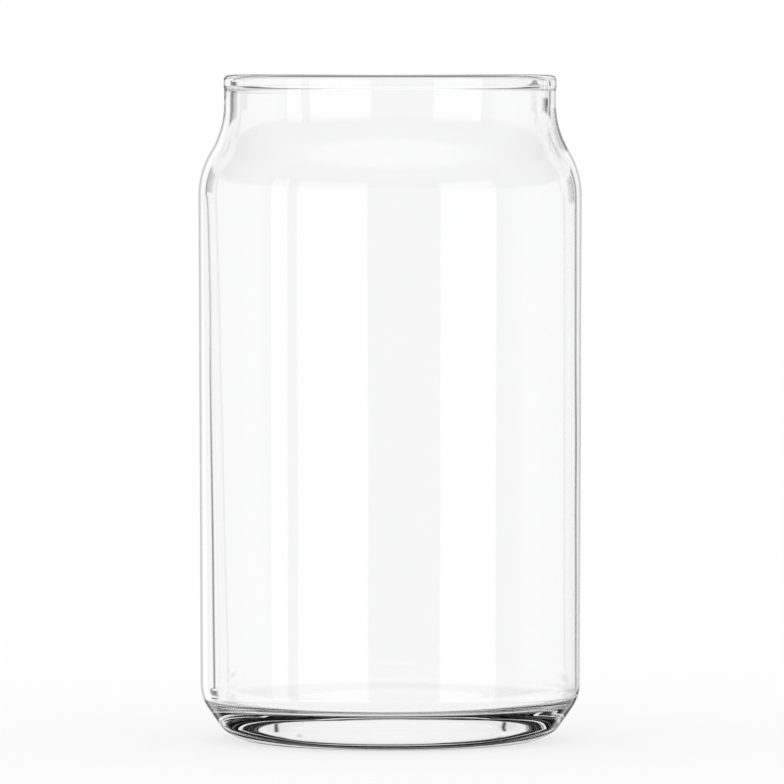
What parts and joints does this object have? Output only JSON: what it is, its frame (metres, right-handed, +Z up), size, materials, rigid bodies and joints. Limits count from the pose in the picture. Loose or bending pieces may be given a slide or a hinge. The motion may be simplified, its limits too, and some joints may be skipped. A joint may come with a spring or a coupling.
{
  "type": "can shaped drinking glass",
  "caption": "Clear one-piece drinking glass in the shape of a drinks can, with a stepped-in neck, a beaded rim and a thick base.",
  "frame": {"origin": "centre of the flat ring that the glass stands on", "axes": "+Z up along the glass's axis, towards the rim; the glass is round, so X and Y have no special direction"},
  "size_m": [0.0768, 0.0768, 0.133],
  "materials": {
    "clear_glass": "clear, colourless, fire-polished"
  },
  "bodies": {
    "root": {"glass": "clear_glass"}
  },
  "joints": []
}
